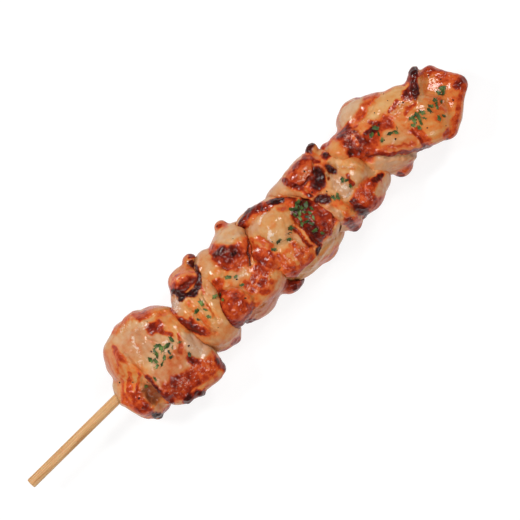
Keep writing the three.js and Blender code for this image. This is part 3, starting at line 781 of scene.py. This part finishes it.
# Chicken thigh, marinated and grilled: moist pale flesh that turns golden, orange, mahogany and black
# where it caught the fire, under a thin film of fat that breaks the light into small white glints. Pale
# specks in the colour add painted highlights, and creases and steep sides are given painted shade.
def grilledThigh():
    material, tree = newMaterial("grilled chicken thigh, basted")
    coords = addNode(tree, "ShaderNodeTexCoord").outputs["Object"]
    cook = addNode(tree, "ShaderNodeAttribute", attribute_name="cook").outputs["Color"]
    parts = addNode(tree, "ShaderNodeSeparateColor", {"Color": cook})
    brown, char, gold = parts.outputs[0], parts.outputs[1], parts.outputs[2]
    fat_highlight_and_shade = addNode(tree, "ShaderNodeAttribute", attribute_name="fat_highlight_and_shade").outputs["Color"]
    fatHighlightShadeParts = addNode(tree, "ShaderNodeSeparateColor", {"Color": fat_highlight_and_shade})
    # browning, mottled more where it is darker
    mottle = addNode(tree, "ShaderNodeTexNoise", {
        "Vector": coords, "Scale": 1000 / thighFinish["mottle"], "Detail": 5.0,
        "Roughness": 0.72}).outputs["Fac"]
    spread = addNode(tree, "ShaderNodeMath", {0: mottle, 1: 0.5}, operation="SUBTRACT").outputs[0]
    rough = addNode(tree, "ShaderNodeMapRange", {0: brown, 1: 0.45, 2: 0.74, 3: 0.4, 4: 0.7}).outputs[0]
    shift = addNode(tree, "ShaderNodeMath", {
        0: spread, 1: rough, 2: brown}, operation="MULTIPLY_ADD").outputs[0]
    pink = addNode(tree, "ShaderNodeValToRGB", {0: shift}, thighFinish["pinkStops"]).outputs[0]
    golden = addNode(tree, "ShaderNodeValToRGB", {0: shift}, thighFinish["goldStops"]).outputs[0]
    colour = addNode(tree, "ShaderNodeMix", {0: gold, 6: pink, 7: golden}, data_type="RGBA").outputs[2]
    crumb = addNode(tree, "ShaderNodeTexNoise", {
        "Vector": coords, "Scale": 1000 / thighFinish["crumb"], "Detail": 2.0}).outputs["Fac"]
    burnt = addNode(tree, "ShaderNodeValToRGB", {0: crumb}, thighFinish["burntStops"]).outputs[0]
    colour = addNode(tree, "ShaderNodeMix", {0: char, 6: colour, 7: burnt}, data_type="RGBA").outputs[2]
    # pale specks that are partly fat and partly painted highlights, with faint painted glints added over the
    # browned crust; they fade out on the darkest crust
    speck = addNode(tree, "ShaderNodeTexNoise", {
        "Vector": coords, "Scale": 1000 / thighFinish["speck"], "Detail": 3.0,
        "Roughness": 0.7}).outputs["Fac"]
    crust = addNode(tree, "ShaderNodeMapRange", {0: brown, 1: 0.35, 2: 0.6, 3: 0.0, 4: 0.12}).outputs[0]
    fat_and_highlight_cover = addNode(tree, "ShaderNodeMath", {
        0: fatHighlightShadeParts.outputs[0], 1: 0.5, 2: speck}, operation="MULTIPLY_ADD").outputs[0]
    fat_and_highlight_cover = addNode(tree, "ShaderNodeMath", {0: crust, 1: 0.5, 2: fat_and_highlight_cover}, operation="MULTIPLY_ADD").outputs[0]
    fat_and_highlight = addNode(tree, "ShaderNodeMapRange", {0: fat_and_highlight_cover, 1: 0.7, 2: 0.86, 3: 0.0, 4: 0.7}).outputs[0]
    unburnt = addNode(tree, "ShaderNodeMapRange", {0: brown, 1: 0.45, 2: 0.95, 3: 1.0, 4: 0.0}).outputs[0]
    fat_and_highlight = addNode(tree, "ShaderNodeMath", {0: fat_and_highlight, 1: unburnt}, operation="MULTIPLY").outputs[0]
    colour = addNode(tree, "ShaderNodeMix", {
        0: fat_and_highlight, 6: colour, 7: linear(thighFinish["fat_and_highlight"])}, data_type="RGBA").outputs[2]
    # painted shade: creases and steep sides are darkened towards a dark red-brown
    shade = addNode(tree, "ShaderNodeMath", {
        0: fatHighlightShadeParts.outputs[1], 1: 0.5}, operation="MULTIPLY").outputs[0]
    colour = addNode(tree, "ShaderNodeMix", {
        0: shade, 6: colour, 7: linear(thighFinish["crease"])}, data_type="RGBA").outputs[2]
    wet = addNode(tree, "ShaderNodeTexNoise", {
        "Vector": coords, "Scale": 1000 / thighFinish["wet"], "Detail": 1.0}).outputs["Fac"]
    bump = addNode(tree, "ShaderNodeBump", {
        "Height": wet, "Strength": 0.6, "Distance": thighFinish["wetDepth"] * mm}).outputs[0]
    shader = addNode(tree, "ShaderNodeBsdfPrincipled", {
        "Base Color": colour, "Roughness": 0.6, "Normal": bump, "Coat Normal": bump, "IOR": 1.4,
        "Specular IOR Level": 0.1, "Coat Weight": 0.55, "Coat Roughness": 0.13, "Coat IOR": 1.5,
        "Subsurface Weight": 0.08, "Subsurface Radius": (1.0, 0.4, 0.2), "Subsurface Scale": 0.8 * mm,
    })
    addNode(tree, "ShaderNodeOutputMaterial", {"Surface": shader.outputs[0]})
    return material


thigh = grilledThigh()
soft = {name: softBundle(name) for name in pieces}
print("folds grown together")
skins = {name: finishSkin(name, soft, thigh) for name in pieces}
print("meat finished")

stickMaker = {
    "sides": 40, "chamfer": 0.4, "rings": 90, "point": 8.0, "groove": 0.025,
    "strand": 0.35,  # width of a bamboo strand in millimetres
    "stops": [(0.3, "#b98049"), (0.5, "#d9a56c"), (0.75, "#eabf8c")],
}


# Bamboo, split and planed round: straw colour, with fine darker strands along its length and a dull sheen.
def planedBamboo():
    material, tree = newMaterial("bamboo, planed round")
    coords = addNode(tree, "ShaderNodeTexCoord").outputs["Object"]
    along = addNode(tree, "ShaderNodeMapping", {"Vector": coords, "Scale": (0.03, 1.0, 1.0)}).outputs[0]
    strands = addNode(tree, "ShaderNodeTexNoise", {
        "Vector": along, "Scale": 1000 / stickMaker["strand"], "Detail": 3.0}).outputs["Fac"]
    colour = addNode(tree, "ShaderNodeValToRGB", {0: strands}, stickMaker["stops"])
    bump = addNode(tree, "ShaderNodeBump", {
        "Height": strands, "Strength": 0.4, "Distance": 0.06 * mm}).outputs[0]
    shader = addNode(tree, "ShaderNodeBsdfPrincipled", {
        "Base Color": colour.outputs[0], "Normal": bump, "Roughness": 0.55, "IOR": 1.5,
        "Subsurface Weight": 0.1, "Subsurface Scale": 0.8 * mm,
    })
    addNode(tree, "ShaderNodeOutputMaterial", {"Surface": shader.outputs[0]})
    return material


def makeStick():
    bm = bmesh.new()
    radius = (stickHigh.z - stickLow.z) / 2
    middle = (stickLow + stickHigh) / 2
    length = stickHigh.x - stickLow.x
    turn = Matrix.Translation(middle) @ Matrix.Rotation(math.pi / 2, 4, "Y")
    bmesh.ops.create_cone(
        bm, cap_ends=True, segments=stickMaker["sides"], radius1=radius, radius2=radius, depth=length,
        matrix=turn)
    rim = [e for e in bm.edges if all(abs(v.co.x - stickLow.x) < 1e-6 for v in e.verts)]
    bmesh.ops.bevel(
        bm, geom=rim, offset=stickMaker["chamfer"] * mm, offset_type="OFFSET", affect="EDGES",
        segments=3, profile=0.5, material=-1)
    sides = [e for e in bm.edges if abs(e.verts[0].co.x - e.verts[1].co.x) > length / 2]
    bmesh.ops.subdivide_edges(bm, edges=sides, cuts=stickMaker["rings"], use_grid_fill=True)
    tip = stickHigh.x - stickMaker["point"] * mm
    for vert in bm.verts:
        away = vert.co - middle
        angle = math.atan2(away.z, away.y)
        strand = math.sin(angle * 9) + math.sin(angle * 17 + 2) + 0.6 * math.sin(angle * 31 + vert.co.x * 40)
        near = 1 - 0.85 * max(0, (vert.co.x - tip) / (stickHigh.x - tip))
        shrink = near * (1 - stickMaker["groove"] * mm / radius * (1 + strand / 2.6))
        vert.co.y = middle.y + away.y * shrink
        vert.co.z = middle.z + away.z * shrink
    bmesh.ops.recalc_face_normals(bm, faces=bm.faces)
    mesh = meshOf(bm, "stick_bamboo")
    mesh.shade_smooth()
    stick = addObject("stick_bamboo", mesh, planedBamboo())
    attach(stick, "root")
    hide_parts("stick")


makeStick()
print("stick finished")

parsleyMaker = {
    "length": 2.1, "width": 1.2, "thick": 0.2, "curl": 0.42, "corners": 11,
    "ragged": (0.34, 0.2),  # slow and quick waves of the cut edge
    "smallest": 0.75, "spread": 0.5,  # scale of a flake
    "patch": 2.2,  # millimetres of one tone
    "stops": [(0.35, "#24310f"), (0.5, "#465c24"), (0.68, "#758b44")],
}


# Flat-leaf parsley, chopped and warmed through: soft dark green that lets a little light through.
def choppedParsley():
    material, tree = newMaterial("parsley leaf, chopped")
    coords = addNode(tree, "ShaderNodeTexCoord").outputs["Object"]
    patch = addNode(tree, "ShaderNodeTexNoise", {
        "Vector": coords, "Scale": 1000 / parsleyMaker["patch"], "Detail": 3.0}).outputs["Fac"]
    colour = addNode(tree, "ShaderNodeValToRGB", {0: patch}, parsleyMaker["stops"])
    shader = addNode(tree, "ShaderNodeBsdfPrincipled", {
        "Base Color": colour.outputs[0], "Roughness": 0.42, "IOR": 1.42,
        "Subsurface Weight": 0.1, "Subsurface Scale": 0.4 * mm,
    })
    addNode(tree, "ShaderNodeOutputMaterial", {"Surface": shader.outputs[0]})
    return material


def groundUnder(trees, along, across):  # highest skin under a place, and the way it faces
    start = placed(along, across, 60)
    hits = [tree.ray_cast(start, Vector((0, 0, -1))) for tree in trees]
    hits = [hit for hit in hits if hit[0] is not None]
    return max(hits, key=lambda hit: hit[0].z)[:2] if hits else None


def layFlake(bm, spot, facing, turn, scale, seed):
    slow, quick = parsleyMaker["ragged"]
    made = bmesh.ops.create_circle(bm, cap_ends=True, segments=parsleyMaker["corners"], radius=0.5)
    verts = made["verts"]
    for k, vert in enumerate(verts):
        wave = 1 + slow * math.sin(3 * k + seed) + quick * math.sin(7 * k + 2 * seed)
        x = vert.co.x * wave * parsleyMaker["length"] * scale
        y = vert.co.y * wave * parsleyMaker["width"] * scale
        lift = parsleyMaker["curl"] * (x * x / 1.4 + 0.5 * math.sin(2.2 * y + seed) - 0.3)
        vert.co = (x * mm, y * mm, lift * mm)
    face = verts[0].link_faces[0]
    made = bmesh.ops.extrude_face_region(bm, geom=[face])["geom"]
    top = [g for g in made if isinstance(g, bmesh.types.BMVert)]
    bmesh.ops.translate(bm, vec=(0, 0, parsleyMaker["thick"] * mm), verts=top)
    lie = facing.to_track_quat("Z", "Y").to_matrix().to_4x4()
    place = Matrix.Translation(spot + facing * 0.05 * mm) @ lie @ Matrix.Rotation(turn, 4, "Z")
    bmesh.ops.transform(bm, matrix=place, verts=verts + top)


def scatterParsley():
    trees = []
    for skin in skins.values():
        bm = bmesh.new()
        bm.from_mesh(skin.data)
        trees.append(BVHTree.FromBMesh(bm))
        bm.free()
    bm = bmesh.new()
    for piece in pieces.values():
        for at, spread, count in piece["parsley"]:
            for k in range(count):
                reach = math.sqrt((k + 0.5) / count)
                along = at[0] + spread[0] * reach * math.cos(k * goldenAngle)
                across = at[1] + spread[1] * reach * math.sin(k * goldenAngle)
                ground = groundUnder(trees, along, across)
                scale = parsleyMaker["smallest"] + parsleyMaker["spread"] * (k * 0.618 % 1)
                if ground:
                    layFlake(bm, *ground, k * 1.9 + at[0], scale, k + at[0])
    bmesh.ops.recalc_face_normals(bm, faces=bm.faces)
    parsley = addObject("parsley", meshOf(bm, "parsley"), choppedParsley())
    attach(parsley, "root")
    return trees


trees = scatterParsley()
print("parsley scattered")

pepperMaker = {
    "width": 0.7, "squash": (1.3, 0.9, 0.6), "count": 60, "seed": 7, "from": 43, "to": 195, "across": 13}


# Black pepper, coarsely ground: dull specks, almost black
def groundPepper():
    material, tree = newMaterial("black pepper, coarsely ground")
    shader = addNode(tree, "ShaderNodeBsdfPrincipled", {
        "Base Color": linear("#2a1712"), "Roughness": 0.8, "IOR": 1.45})
    addNode(tree, "ShaderNodeOutputMaterial", {"Surface": shader.outputs[0]})
    return material


def scatterPepper():
    draw = np.random.default_rng(pepperMaker["seed"])
    bm = bmesh.new()
    for k in range(pepperMaker["count"]):
        along = draw.uniform(pepperMaker["from"], pepperMaker["to"])
        across = draw.uniform(-pepperMaker["across"], pepperMaker["across"])
        size = pepperMaker["width"] * draw.uniform(0.5, 1.2)
        turn = draw.uniform(0, 6.28)
        ground = groundUnder(trees, along, across)
        if ground and ground[1].z > 0.5:
            place = Matrix.Translation(ground[0]) @ Matrix.Rotation(turn, 4, (0.3, 0.2, 1))
            place = place @ Matrix.Diagonal((*pepperMaker["squash"], 1))
            bmesh.ops.create_icosphere(bm, subdivisions=1, radius=size / 2 * mm, matrix=place)
    pepper = addObject("pepper", meshOf(bm, "pepper"), groundPepper())
    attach(pepper, "root")


scatterPepper()
print("pepper scattered")

studio = {
    "floor": 3.0,
    "world": 0.06,
    "boxes": {  # softboxes: place from the food in metres, side, watts
        "key": ((-0.32, 0.40, 0.62), 0.16, 3.0),
        "near": ((-0.5, -0.25, 0.6), 0.2, 1.2),
        "far": ((0.5, 0.2, 0.65), 0.18, 2.3),
        "low": ((0.1, -0.55, 0.65), 0.2, 1.0),
        "top": ((0.1, 0.2, 0.85), 0.12, 0.6),
    },
}


# Seamless white paper, lit until its shadows almost go
def whitePaper():
    material, tree = newMaterial("white paper, seamless")
    shader = addNode(tree, "ShaderNodeBsdfPrincipled", {
        "Base Color": (0.22, 0.22, 0.22, 1), "Roughness": 0.9,
        "Emission Color": (1, 1, 1, 1), "Emission Strength": 0.84,
    })
    addNode(tree, "ShaderNodeOutputMaterial", {"Surface": shader.outputs[0]})
    return material


def makeFloor():
    bm = bmesh.new()
    bmesh.ops.create_grid(bm, x_segments=1, y_segments=1, size=studio["floor"] / 2)
    floor = addObject("floor", meshOf(bm, "floor"), whitePaper())


def addLight(name, offset, size, power):
    data = bpy.data.lights.new(name, "AREA")
    data.size = size
    data.energy = power
    light = bpy.data.objects.new(name, data)
    aim = placed(*view["aim"], 12)
    light.location = aim + Vector(offset)
    light.rotation_euler = (-Vector(offset)).to_track_quat("-Z", "Y").to_euler()
    bpy.context.collection.objects.link(light)


def lightStudio():
    for name, (offset, size, power) in studio["boxes"].items():
        addLight(name, offset, size, power)
    world = bpy.data.worlds.new("studio")
    world.use_nodes = True
    world.node_tree.nodes["Background"].inputs[0].default_value = (1, 1, 1, 1)
    world.node_tree.nodes["Background"].inputs[1].default_value = studio["world"]
    bpy.context.scene.world = world
    bpy.context.scene.view_settings.view_transform = "Standard"


makeFloor()
lightStudio()
print("studio lit")
